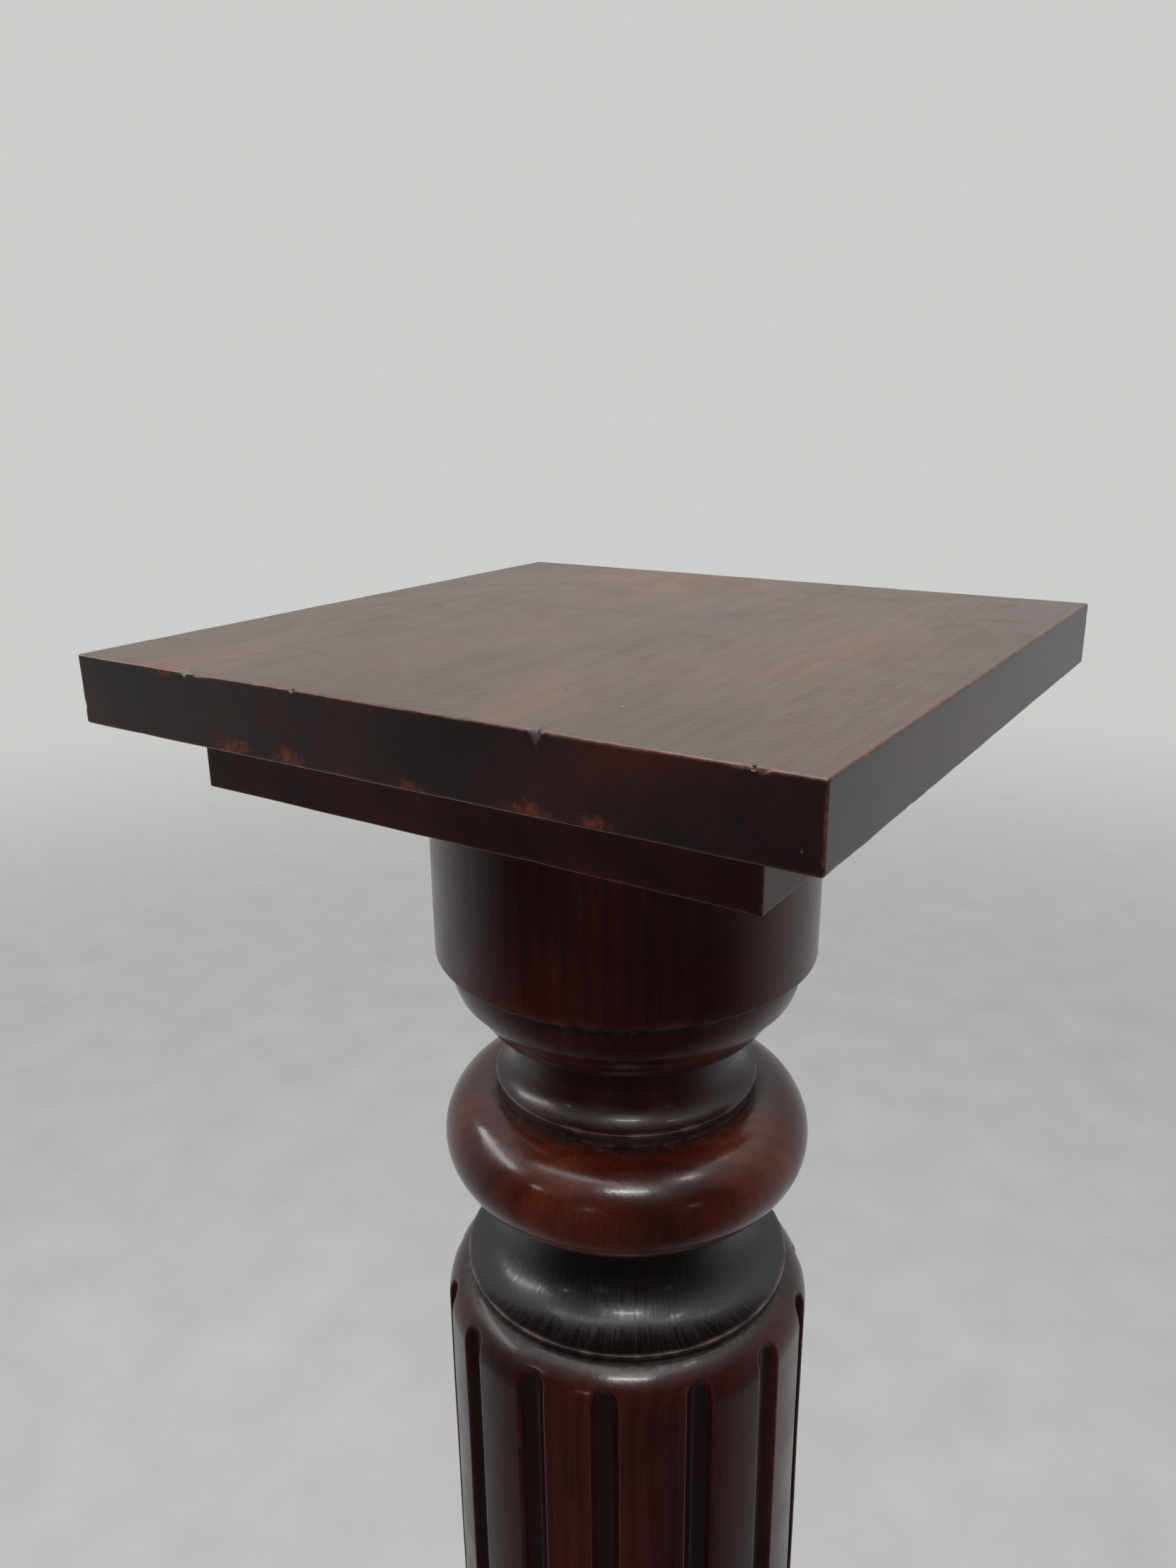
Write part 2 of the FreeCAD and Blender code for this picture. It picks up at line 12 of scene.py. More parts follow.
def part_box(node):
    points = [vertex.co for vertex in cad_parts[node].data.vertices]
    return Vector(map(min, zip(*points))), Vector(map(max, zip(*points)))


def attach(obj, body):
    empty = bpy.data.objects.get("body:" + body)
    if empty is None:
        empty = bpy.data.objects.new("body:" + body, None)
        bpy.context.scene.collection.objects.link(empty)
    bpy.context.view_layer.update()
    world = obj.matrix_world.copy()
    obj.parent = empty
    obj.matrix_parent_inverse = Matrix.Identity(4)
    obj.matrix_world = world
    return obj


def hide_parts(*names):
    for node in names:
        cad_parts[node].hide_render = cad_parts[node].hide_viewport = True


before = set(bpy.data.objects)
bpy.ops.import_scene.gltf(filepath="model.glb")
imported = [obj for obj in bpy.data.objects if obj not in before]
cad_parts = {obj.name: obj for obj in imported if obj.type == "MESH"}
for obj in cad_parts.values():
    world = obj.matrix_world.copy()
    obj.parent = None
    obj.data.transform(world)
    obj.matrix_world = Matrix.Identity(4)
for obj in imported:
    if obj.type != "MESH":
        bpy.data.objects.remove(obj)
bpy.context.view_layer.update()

MM = 0.001

# Turned joints and the rod's bore
BORE = 7.0
SPIGOT_RADIUS = 20.0
SPIGOT_LENGTH = 14.0
SOCKET_RADIUS = 20.15
SOCKET_DEPTH = 15.0
NUT_WELL_RADIUS = 18.0
NUT_WELL_DEPTH = 20.0

# Wood screws: rings they stand on, and their holes
DISPLAY_RING = 130.0
BEARER_RING = 50.0
FOOT_RING = 140.0
SHANK = 2.5
SCREW_HOLE = 2.8
SCREW_HEAD = 5.2
HEAD_DEPTH = 2.9

# Outlines of the turned blocks, foot to top: radius and height over the foot.
# A crest is a point that an arc passes through between its neighbours.
DRUM = (
    (59.4, 0), (64.5, 7.0, "crest"), (68.0, 14.0),
    (70.6, 14.0), (73.0, 21.15, "crest"), (73.6, 28.3),
    (75.0, 28.3), (75.0, 31.5),
    (79.2, 31.5), (79.2, 109.0),
    (NUT_WELL_RADIUS, 109.0), (NUT_WELL_RADIUS, 89.0), (BORE, 89.0),
)
NECK = ((55.2, 0), (56.3, 6.2), (50.3, 10.6, "crest"), (48.0, 17.6), (47.2, 25.8, "crest"), (47.0, 34.0))
CAPITAL_TORUS = ((61.2, 0), (61.2, 2.0), (62.0, 2.0), (78.8, 23.6, "crest"), (60.0, 45.2))
CAPITAL_COVE = ((71.0, 0), (71.9, 5.5), (55.35, 12.35, "crest"),
                (48.5, 28.9), (48.9, 37.2, "crest"), (50.5, 45.5))
BASE_COVE = ((82.0, 0), (82.0, 4.0), (79.0, 4.0), (62.74, 10.74, "crest"), (56.0, 27.0),
             (56.0, 28.1), (60.66, 39.34, "crest"), (71.9, 44.0), (71.0, 49.5))
BASE_TORUS = ((92.0, 0), (106.0, 25.0, "crest"), (88.0, 50.0))

# Fluted shaft
SHAFT_RADIUS = 81.4
SHOULDER_ROUND = 20.0
SHOULDER_HEIGHT = 17.26
SHOULDER_EDGE = 71.5
FLUTE_RADIUS = 5.75
FLUTE_DEPTH = 5.5
FLUTE_AXIS = SHAFT_RADIUS + FLUTE_RADIUS - FLUTE_DEPTH
FLUTE_STOP = 4.8
FIRST_FLUTE = -61.6
FLUTE_SHIFTS = (-3.4, 0.5, 2.2, 3.5, 2.9, 2.3, 1.7, 1.1, 0.5, -0.2, -0.8, -1.4, -2.0, -3.5, -2.0)
FLUTE_SPACING = 360 / len(FLUTE_SHIFTS)
FLUTE_EDGE = 1.3

# Boards, and how far a drill starts and ends outside the wood
BEARER_THICKNESS = 27.0
STEP_THICKNESS = 30.0
FOOT_THICKNESS = 40.0
OVERSHOOT = 0.5

# Felt pads
PAD_RING = 195.0
PAD_RADIUS = 16.0

# Mesh steps
TURNS = 288
ARC_STEP = 0.9
RUN_STEP = 4.0
FLUTE_FLOOR = 3.2      # degrees either side of a flute's middle
FLUTE_REACH = 5.2
HALVINGS = 26          # steps that find the shaft's skin

# Real sizes that the wood's patterns are drawn from
RING_WIDTH = 7.0
FIBRE_WIDTH = 0.9
PORE_WIDTH = 0.45      # real pores are 0.15 mm wide, too fine to show
WAVE_REPEAT = 0.314    # a wave texture of scale 1 repeats at this distance


# ---------------------------------------------------------------- shader helpers

def linear(code):
    """An sRGB hex colour as linear red, green, blue and alpha."""
    parts = [int(code[n:n + 2], 16) / 255 for n in (1, 3, 5)]
    return [c / 12.92 if c <= 0.04045 else ((c + 0.055) / 1.055) ** 2.4 for c in parts] + [1.0]


def add(tree, kind, settings=None, links=None):
    """Add a shader node. Capitalised or numbered settings are its inputs, the others its own properties."""
    node = tree.nodes.new("ShaderNode" + kind)
    for key, value in (settings or {}).items():
        if key == "stops":
            ramp = node.color_ramp
            while len(ramp.elements) < len(value):
                ramp.elements.new(1.0)
            for element, (position, code) in zip(ramp.elements, value):
                element.position = position
                element.color = linear(code)
        elif isinstance(key, int) or key[0].isupper():
            node.inputs[key].default_value = linear(value) if isinstance(value, str) else value
        else:
            setattr(node, key, value)
    for key, source in (links or {}).items():
        tree.links.new(source.outputs[0] if hasattr(source, "outputs") else source, node.inputs[key])
    return node


def new_material(name):
    """An empty material, and its tree."""
    material = bpy.data.materials.new(name)
    material.use_nodes = True
    material.node_tree.nodes.clear()
    return material, material.node_tree


def finish_surface(tree, shader):
    add(tree, "OutputMaterial", links={"Surface": shader})


GRAIN_TURN = {"z": (0, 0, 0), "y": (math.pi / 2, 0, 0), "x": (0, math.pi / 2, 0)}


def timber(tree, grain, heart):
    """Millimetre places in one piece of timber: grain turned to z, the tree's heart at the origin."""
    place = add(tree, "TexCoord")
    return add(tree, "Mapping", {"Scale": (1 / MM,) * 3, "Rotation": GRAIN_TURN[grain], "Location": heart},
               {"Vector": place.outputs["Object"]})


def fibre_lines(tree, stock):
    """Places drawn out along the grain, and the fibres that run there."""
    along = add(tree, "Mapping", {"Scale": (1, 1, 0.035)}, {"Vector": stock})
    return along, add(tree, "TexNoise", {"Scale": 1 / FIBRE_WIDTH, "Detail": 5.0, "Roughness": 0.65},
                      {"Vector": along})


def figure(tree, stock):
    """Mahogany's figure: growth rings, fibres and open pores, all drawn out along the grain."""
    along, fibres = fibre_lines(tree, stock)
    rings = add(tree, "TexWave",
                {"wave_type": "RINGS", "rings_direction": "Z", "Scale": WAVE_REPEAT / RING_WIDTH,
                 "Distortion": 5.0, "Detail": 3.0, "Detail Scale": 0.5}, {"Vector": along})
    dashes = add(tree, "TexNoise", {"Scale": 1 / PORE_WIDTH, "Detail": 2.0}, {"Vector": along})
    pores = add(tree, "ValToRGB", {"stops": ((0.60, "#000000"), (0.70, "#ffffff"))}, {"Fac": dashes})
    return rings.outputs["Fac"], fibres, pores


# ---------------------------------------------------------------- materials

def turned_mahogany(name, heart, tones, worn_tone, wear, gloss=0.2):
    """Mahogany turned on a lathe and French-polished: dark red-brown under a glassy, slightly uneven film."""
    material, tree = new_material(name)
    stock = timber(tree, "z", heart)
    rings, fibres, pores = figure(tree, stock)
    edge, crease, hollow = (add(tree, "Attribute", {"attribute_name": mark}).outputs["Fac"]
                            for mark in ("edge", "crease", "hollow"))
    # the polish is thick and dark in places, rubbed thin and red in others, in streaks that lean a little
    leaning = add(tree, "Mapping", {"Scale": (1, 1, 0.4), "Rotation": (0.35, 0.25, 0)}, {"Vector": stock})
    film = add(tree, "TexNoise", {"Scale": 1 / 55, "Detail": 4.0, "Roughness": 0.5}, {"Vector": leaning})
    tone = add(tree, "ValToRGB", {"stops": tuple(zip((0.32, 0.52, 0.74), tones))}, {"Fac": film})
    ring_tone = add(tree, "ValToRGB", {"stops": ((0.0, "#b8a8a2"), (0.7, "#ffffff"))}, {"Fac": rings})
    ringed = add(tree, "MixRGB", {"blend_type": "MULTIPLY", "Fac": 0.45},
                 {"Color1": tone, "Color2": ring_tone})
    fibre_tone = add(tree, "ValToRGB", {"stops": ((0.32, "#7a6c6a"), (0.62, "#ffffff"))}, {"Fac": fibres})
    streaked = add(tree, "MixRGB", {"blend_type": "MULTIPLY", "Fac": 0.55},
                   {"Color1": ringed, "Color2": fibre_tone})
    pore_share = add(tree, "Math", {"operation": "MULTIPLY", 1: 0.4}, {0: pores})
    pitted = add(tree, "MixRGB", {"Color2": "#080303"}, {"Fac": pore_share, "Color1": streaked})
    # painted shade: flutes are painted darker, and creases are painted dark with grey dust mixed in
    flute_shade = add(tree, "Math", {"operation": "MULTIPLY", 1: 0.7}, {0: hollow})
    darkened = add(tree, "MixRGB", {"Color2": "#120b0e"}, {"Fac": flute_shade, "Color1": pitted})
    dust_scatter = add(tree, "TexNoise", {"Scale": 1 / 3, "Detail": 4.0}, {"Vector": stock})
    dust_and_shade = add(tree, "ValToRGB", {"stops": ((0.50, "#0a0606"), (0.66, "#3a3230"))}, {"Fac": dust_scatter})
    crease_darkening = add(tree, "Math", {"operation": "MULTIPLY", 1: 0.8}, {0: crease})
    crease_darkened = add(tree, "MixRGB", links={"Fac": crease_darkening, "Color1": darkened, "Color2": dust_and_shade})
    # arrises are rubbed back here and there
    rub = add(tree, "TexNoise", {"Scale": 1 / 9, "Detail": 3.0}, {"Vector": stock})
    rub_share = add(tree, "MapRange",
                    {"From Min": 0.40, "From Max": 0.66, "To Min": 0.12 * wear, "To Max": wear},
                    {"Value": rub})
    worn = add(tree, "Math", {"operation": "MULTIPLY"}, {0: edge, 1: rub_share})
    coloured = add(tree, "MixRGB", {"Color2": worn_tone}, {"Fac": worn, "Color1": crease_darkened})
    # gloss: a film with dull patches, duller in the creases
    dull = add(tree, "MapRange", {"From Min": 0.35, "From Max": 0.7, "To Min": gloss, "To Max": gloss + 0.16},
               {"Value": add(tree, "TexNoise", {"Scale": 1 / 22, "Detail": 4.0}, {"Vector": stock})})
    rough = add(tree, "Math", {"operation": "MULTIPLY_ADD", 1: 0.3}, {0: crease, 2: dull})
    # relief: lathe rings, slow waves and fine crinkle in the brushed film, and sunk grain
    lathe = add(tree, "Mapping", {"Scale": (0.03, 0.03, 1)}, {"Vector": stock})
    marks = add(tree, "TexNoise", {"Scale": 1 / 2.2, "Detail": 3.0}, {"Vector": lathe})
    relief = add(tree, "Bump", {"Strength": 1.0, "Distance": 0.02 * MM}, {"Height": marks})
    for size, depth in ((7.0, 0.08), (2.0, 0.05)):
        ripple = add(tree, "TexNoise", {"Scale": 1 / size, "Detail": 2.0},
                     {"Vector": add(tree, "Mapping", {"Scale": (1, 1, 0.6)}, {"Vector": stock})})
        relief = add(tree, "Bump", {"Strength": 1.0, "Distance": depth * MM},
                     {"Height": ripple, "Normal": relief})
    relief = add(tree, "Bump", {"Strength": 1.0, "Distance": 0.018 * MM},
                 {"Height": fibres, "Normal": relief})
    shader = add(tree, "BsdfPrincipled",
                 {"IOR": 1.48, "Coat Weight": 0.12, "Coat Roughness": 0.08, "Coat IOR": 1.5},
                 {"Base Color": coloured, "Roughness": rough, "Normal": relief})
    finish_surface(tree, shader)
    return material


def dark_cove_polish(name, heart):
    """The same polish, painted almost black as shade in the cove's hollow, satin, with radial chatter from
    the scraping tool.
    """
    material, tree = new_material(name)
    stock = timber(tree, "z", heart)
    fibres = fibre_lines(tree, stock)[1]
    edge = add(tree, "Attribute", {"attribute_name": "edge"}).outputs["Fac"]
    crease = add(tree, "Attribute", {"attribute_name": "crease"}).outputs["Fac"]
    # painted shade: the cove's tones are almost black, darker than the blocks around it
    film = add(tree, "TexNoise", {"Scale": 1 / 30, "Detail": 5.0}, {"Vector": stock})
    tone = add(tree, "ValToRGB", {"stops": ((0.35, "#0b0608"), (0.58, "#150a0c"), (0.78, "#2e1312"))},
               {"Fac": film})
    fibre_tone = add(tree, "ValToRGB", {"stops": ((0.3, "#8a8080"), (0.6, "#ffffff"))}, {"Fac": fibres})
    streaked = add(tree, "MixRGB", {"blend_type": "MULTIPLY", "Fac": 0.7},
                   {"Color1": tone, "Color2": fibre_tone})
    # painted shade: creases are painted almost black
    crease_darkening = add(tree, "Math", {"operation": "MULTIPLY", 1: 0.8}, {0: crease})
    crease_darkened = add(tree, "MixRGB", {"Color2": "#050404"}, {"Fac": crease_darkening, "Color1": streaked})
    rub = add(tree, "TexNoise", {"Scale": 1 / 7, "Detail": 3.0}, {"Vector": stock})
    rub_share = add(tree, "MapRange", {"From Min": 0.38, "From Max": 0.62, "To Min": 0.15, "To Max": 0.7},
                    {"Value": rub})
    worn = add(tree, "Math", {"operation": "MULTIPLY"}, {0: edge, 1: rub_share})
    coloured = add(tree, "MixRGB", {"Color2": "#7d6a64"}, {"Fac": worn, "Color1": crease_darkened})
    # chatter: lines that fan out from the column's axis
    place = add(tree, "TexCoord")
    flat = add(tree, "VectorMath", {"operation": "MULTIPLY", 1: (1, 1, 0)}, {0: place.outputs["Object"]})
    round_it = add(tree, "VectorMath", {"operation": "NORMALIZE"}, {0: flat})
    lean = add(tree, "TexNoise", {"Scale": 1 / 20, "Detail": 2.0}, {"Vector": stock})
    bent = add(tree, "VectorMath", {"operation": "MULTIPLY_ADD", 1: (0.05, 0.05, 0.05)},
               {0: lean.outputs["Color"], 2: round_it})
    fan = add(tree, "TexNoise", {"Scale": 58.0, "Detail": 4.0, "Roughness": 0.6}, {"Vector": bent})
    rough = add(tree, "MapRange", {"From Min": 0.35, "From Max": 0.65, "To Min": 0.24, "To Max": 0.42},
                {"Value": fan})
    some = add(tree, "MapRange", {"From Min": 0.42, "From Max": 0.62, "To Min": 0.1},
               {"Value": add(tree, "TexNoise", {"Scale": 1 / 40, "Detail": 2.0}, {"Vector": stock})})
    chatter = add(tree, "Math", {"operation": "MULTIPLY"}, {0: fan, 1: some})
    brushed = add(tree, "TexNoise", {"Scale": 1 / 1.8, "Detail": 3.0}, {"Vector": stock})
    brush_bump = add(tree, "Bump", {"Strength": 1.0, "Distance": 0.06 * MM}, {"Height": brushed})
    fan_bump = add(tree, "Bump", {"Strength": 1.0, "Distance": 0.11 * MM},
                   {"Height": chatter, "Normal": brush_bump})
    lathe = add(tree, "Mapping", {"Scale": (0.05, 0.05, 1)}, {"Vector": stock})
    marks = add(tree, "TexNoise", {"Scale": 1 / 1.8, "Detail": 3.0}, {"Vector": lathe})
    lathe_bump = add(tree, "Bump", {"Strength": 1.0, "Distance": 0.02 * MM},
                     {"Height": marks, "Normal": fan_bump})
    shader = add(tree, "BsdfPrincipled",
                 {"IOR": 1.5, "Coat Weight": 0.15, "Coat Roughness": 0.12, "Coat IOR": 1.5},
                 {"Base Color": coloured, "Roughness": rough, "Normal": lathe_bump})
    finish_surface(tree, shader)
    return material


def worn_board_mahogany(name, grain, heart, hazy_top, side_tones, bloom):
    """A flat mahogany board whose polish has worn: hazy on top, black with red windows on its edges."""
    material, tree = new_material(name)
    stock = timber(tree, grain, heart)
    rings, fibres, pores = figure(tree, stock)
    edge = add(tree, "Attribute", {"attribute_name": "edge"}).outputs["Fac"]
    rubbed = add(tree, "Attribute", {"attribute_name": "rubbed"}).outputs["Fac"]
    chipped = add(tree, "Attribute", {"attribute_name": "chipped"}).outputs["Fac"]
    facing = add(tree, "SeparateXYZ", links={0: add(tree, "NewGeometry").outputs["Normal"]})
    upward = add(tree, "MapRange", {"From Min": 0.6, "From Max": 0.9}, {"Value": facing.outputs["Z"]})
    # the sides: thick dark polish with red clouds
    clouds = add(tree, "TexNoise", {"Scale": 1 / 38, "Detail": 4.0, "Roughness": 0.5}, {"Vector": stock})
    side = add(tree, "ValToRGB", {"stops": tuple(zip((0.38, 0.56, 0.76), side_tones))}, {"Fac": clouds})
    # the top: brown where the polish is thin, greyish where it has bloomed
    drift = add(tree, "Mapping", {"Scale": (1, 1, 0.4)}, {"Vector": stock})
    thin = add(tree, "TexNoise", {"Scale": 1 / 55, "Detail": 5.0, "Roughness": 0.55, "Distortion": 0.6},
               {"Vector": drift})
    top = add(tree, "ValToRGB", {"stops": hazy_top}, {"Fac": thin})
    mixed = add(tree, "MixRGB", links={"Fac": upward.outputs[0], "Color1": side, "Color2": top})
    ring_tone = add(tree, "ValToRGB", {"stops": ((0.0, "#b8aaa4"), (0.6, "#ffffff"))}, {"Fac": rings})
    ringed = add(tree, "MixRGB", {"blend_type": "MULTIPLY", "Fac": 0.18},
                 {"Color1": mixed, "Color2": ring_tone})
    fibre_tone = add(tree, "ValToRGB", {"stops": ((0.32, "#8a807c"), (0.62, "#ffffff"))}, {"Fac": fibres})
    streaked = add(tree, "MixRGB", {"blend_type": "MULTIPLY", "Fac": 0.5},
                   {"Color1": ringed, "Color2": fibre_tone})
    pore_share = add(tree, "Math", {"operation": "MULTIPLY", 1: 0.45}, {0: pores})
    pitted = add(tree, "MixRGB", {"Color2": "#120806"}, {"Fac": pore_share, "Color1": streaked})
    # rubbed places and arrises show the bare orange wood
    rub = add(tree, "TexNoise", {"Scale": 1 / 3.5, "Detail": 6.0, "Roughness": 0.7}, {"Vector": stock})
    patch = add(tree, "Math", {"operation": "MULTIPLY"}, {0: rubbed, 1: rub})
    bare = add(tree, "MapRange", {"interpolation_type": "SMOOTHSTEP", "From Min": 0.33, "From Max": 0.60},
               {"Value": patch})
    patched = add(tree, "MixRGB", {"Color2": "#5a2411"}, {"Fac": bare.outputs[0], "Color1": pitted})
    rub_share = add(tree, "MapRange", {"From Min": 0.42, "From Max": 0.66, "To Min": 0.05, "To Max": 0.75},
                    {"Value": rub})
    worn = add(tree, "Math", {"operation": "MULTIPLY"}, {0: edge, 1: rub_share})
    rubbed_edge = add(tree, "MixRGB", {"Color2": "#8a442c"}, {"Fac": worn, "Color1": patched})
    edged = add(tree, "MixRGB", {"Color2": "#655a54"}, {"Fac": chipped, "Color1": rubbed_edge})
    # small knocks: short dark nicks, and a few pale specks of plaster dust
    nick_place = add(tree, "Mapping", {"Scale": (1, 1, 0.3), "Rotation": (0.3, 0.2, 0.5)}, {"Vector": stock})
    nick_cells = add(tree, "TexVoronoi", {"Scale": 1 / 17, "Randomness": 1.0}, {"Vector": nick_place})
    nick = add(tree, "MapRange", {"From Min": 0.035, "From Max": 0.012}, {"Value": nick_cells})
    nick_share = add(tree, "Math", {"operation": "MULTIPLY", 1: 0.7}, {0: nick})
    nicked = add(tree, "MixRGB", {"Color2": "#1c0e0a"}, {"Fac": nick_share, "Color1": edged})
    speck_cells = add(tree, "TexVoronoi", {"Scale": 1 / 23, "Randomness": 1.0}, {"Vector": stock})
    speck = add(tree, "MapRange", {"From Min": 0.016, "From Max": 0.009}, {"Value": speck_cells})
    coloured = add(tree, "MixRGB", {"Color2": "#a8a49c"}, {"Fac": speck.outputs[0], "Color1": nicked})
    # sheen: satin, with wiped patches that end in soft curves
    wipe = add(tree, "TexNoise", {"Scale": 1 / 75, "Detail": 1.0, "Distortion": 1.4}, {"Vector": stock})
    wiped = add(tree, "ValToRGB", {"stops": ((0.47, "#000000"), (0.495, "#ffffff"), (0.60, "#202020"))},
                {"Fac": wipe})
    on_top = add(tree, "Math", {"operation": "MULTIPLY"}, {0: wiped, 1: upward})
    rough = add(tree, "MapRange", {"To Min": 0.33, "To Max": 0.46}, {"Value": on_top})
    # relief: hairline scratches, nicks and sunk grain
    scratch_field = add(tree, "TexNoise", {"Scale": 1 / 30, "Detail": 0.0, "Distortion": 0.8},
                        {"Vector": add(tree, "Mapping", {"Scale": (1, 1, 0.5), "Rotation": (0, 0, 0.6)},
                                       {"Vector": stock})})
    scratch = add(tree, "Math", {"operation": "PINGPONG", 1: 0.05}, {0: scratch_field})
    scratch_line = add(tree, "MapRange", {"From Min": 0.0, "From Max": 0.0012}, {"Value": scratch})
    scratch_bump = add(tree, "Bump", {"Strength": 0.35, "Distance": 0.02 * MM}, {"Height": scratch_line})
    nick_bump = add(tree, "Bump", {"Strength": 1.0, "Distance": 0.25 * MM, "invert": True},
                    {"Height": nick, "Normal": scratch_bump})
    wavy = add(tree, "TexNoise", {"Scale": 1 / 14, "Detail": 3.0}, {"Vector": drift})
    wavy_bump = add(tree, "Bump", {"Strength": 1.0, "Distance": 0.12 * MM},
                    {"Height": wavy, "Normal": nick_bump})
    fibre_bump = add(tree, "Bump", {"Strength": 1.0, "Distance": 0.02 * MM},
                     {"Height": fibres, "Normal": wavy_bump})
    shader = add(tree, "BsdfPrincipled",
                 {"IOR": 1.48, "Sheen Weight": bloom, "Sheen Roughness": 0.5, "Sheen Tint": "#d8d2cc"},
                 {"Base Color": coloured, "Roughness": rough, "Normal": fibre_bump})
    finish_surface(tree, shader)
    return material


def dulled_screw_steel():
    """Slotted steel screws gone dull: grey-brown tarnish with bright rubs."""
    material, tree = new_material("dulled_screw_steel")
    stock = timber(tree, "z", (0, 0, 0))
    tarnish = add(tree, "TexNoise", {"Scale": 1 / 1.6, "Detail": 5.0}, {"Vector": stock})
    colour = add(tree, "ValToRGB", {"stops": ((0.35, "#4b4038"), (0.6, "#8d8880"))}, {"Fac": tarnish})
    rough = add(tree, "MapRange", {"To Min": 0.55, "To Max": 0.3}, {"Value": tarnish})
    bump = add(tree, "Bump", {"Strength": 0.6, "Distance": 0.04 * MM}, {"Height": tarnish})
    shader = add(tree, "BsdfPrincipled", {"Metallic": 0.9},
                 {"Base Color": colour, "Roughness": rough, "Normal": bump})
    finish_surface(tree, shader)
    return material


def zinc_plated_steel():
    """Bright zinc plate on drawn bar and pressed hardware: pale metal with fine draw lines."""
    material, tree = new_material("zinc_plated_steel")
    stock = timber(tree, "z", (0, 0, 0))
    drawn = add(tree, "Mapping", {"Scale": (1, 1, 0.03)}, {"Vector": stock})
    lines = add(tree, "TexNoise", {"Scale": 1 / 0.4, "Detail": 4.0}, {"Vector": drawn})
    spangle = add(tree, "TexVoronoi", {"Scale": 1 / 2.5}, {"Vector": stock})
    colour = add(tree, "MixRGB", {"Color1": "#b9bcc0", "Color2": "#8f949b"}, {"Fac": spangle})
    rough = add(tree, "MapRange", {"To Min": 0.22, "To Max": 0.42}, {"Value": lines})
    bump = add(tree, "Bump", {"Strength": 0.5, "Distance": 0.02 * MM}, {"Height": lines})
    shader = add(tree, "BsdfPrincipled", {"Metallic": 1.0},
                 {"Base Color": colour, "Roughness": rough, "Normal": bump})
    finish_surface(tree, shader)
    return material


def pressed_green_felt():
    """Wool felt pressed into pads: matted fibres in two greens with a soft sheen."""
    material, tree = new_material("pressed_green_felt")
    stock = timber(tree, "z", (0, 0, 0))
    wool = add(tree, "TexNoise", {"Scale": 1 / 0.6, "Detail": 6.0, "Roughness": 0.75, "Distortion": 1.5},
               {"Vector": stock})
    colour = add(tree, "ValToRGB", {"stops": ((0.3, "#14301c"), (0.7, "#33573a"))}, {"Fac": wool})
    bump = add(tree, "Bump", {"Strength": 1.0, "Distance": 0.3 * MM}, {"Height": wool})
    shader = add(tree, "BsdfPrincipled", {"Roughness": 0.95, "Sheen Weight": 0.5, "Sheen Roughness": 0.5},
                 {"Base Color": colour, "Normal": bump})
    finish_surface(tree, shader)
    return material


# ---------------------------------------------------------------- mesh helpers

def mark_points(mesh, marks):
    """Write named values, one per point, for the finishes to read."""
    for label, values in marks:
        mesh.attributes.new(label, "FLOAT", "POINT").data.foreach_set("value", values.astype(np.float32))


def place_piece(name, mesh, material, node):
    """Put a smooth-shaded mesh in the scene, to stand for a CAD node."""
    mesh.polygons.foreach_set("use_smooth", np.ones(len(mesh.polygons), bool))
    mesh.materials.append(material)
    piece = bpy.data.objects.new(name, mesh)
    bpy.context.scene.collection.objects.link(piece)
    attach(piece, "root")
    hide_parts(node)
    return piece


def make_piece(name, places, faces, material, node, marks=()):
    """A piece from arrays of places, in millimetres, and faces. marks are named values per point."""
    mesh = bpy.data.meshes.new(name)
    mesh.from_pydata((places * MM).tolist(), [], faces.tolist())
    mark_points(mesh, marks)
    return place_piece(name, mesh, material, node)


def node_box(node):
    """A CAD node's lowest and highest corner, in millimetres."""
    return [np.array(corner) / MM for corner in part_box(node)]


def arc(a, b, c):
    """Points from a to c on the arc through b. A point is radius + height j."""
    w = (c - a) / (b - a)
    centre = a + (b - a) * (w - abs(w) ** 2) / (2j * w.imag)
    sweep = np.angle((b - centre) / (a - centre)) + np.angle((c - centre) / (b - centre))
    steps = max(2, math.ceil(abs(sweep * (a - centre)) / ARC_STEP))
    return centre + (a - centre) * np.exp(1j * sweep * np.linspace(0, 1, steps + 1))


def outline(rows, ease):
    """A closed outline with eased corners, as radius + height j, and its worn edges and its creases, where
    shade and grey dust are painted.
    """
    corners = [n for n, row in enumerate(rows) if len(row) == 2]
    runs = []
    for here, there in zip(corners, corners[1:] + corners[:1]):
        crest = (here + 1) % len(rows)
        start, end = complex(*rows[here]), complex(*rows[there])
        runs.append(np.array([start, end]) if crest == there else arc(start, complex(*rows[crest][:2]), end))
    trimmed = []
    for run in runs:
        travel = np.r_[0, np.cumsum(np.abs(np.diff(run)))]
        cut = min(ease, travel[-1] / 6)
        inner = travel[-1] - 4 * cut
        step = RUN_STEP if len(run) == 2 else ARC_STEP
        stops = np.r_[cut, 2 * cut + np.linspace(0, inner, math.ceil(inner / step) + 1), travel[-1] - cut]
        trimmed.append(np.interp(stops, travel, run.real) + 1j * np.interp(stops, travel, run.imag))
    t = np.linspace(0, 1, 6)[1:-1]
    line = np.concatenate([
        np.r_[(1 - t) ** 2 * before[-1] + 2 * t * (1 - t) * run[0] + t ** 2 * after[0], after]
        for before, run, after in zip(trimmed[-1:] + trimmed[:-1], runs, trimmed)])
    edge, crease = np.zeros(len(line)), np.zeros(len(line))
    for before, run in zip(runs[-1:] + runs[:-1], runs):
        bend = np.angle((run[1] - run[0]) / (before[-1] - before[-2]))
        away = np.abs(line - run[0])
        if bend > 0.3:
            edge = np.maximum(edge, np.exp(-(away / 0.8) ** 2) * min(1, bend))
        elif bend < -0.3:
            crease = np.maximum(crease, np.exp(-(away / 2.2) ** 2))
    return line, edge, crease


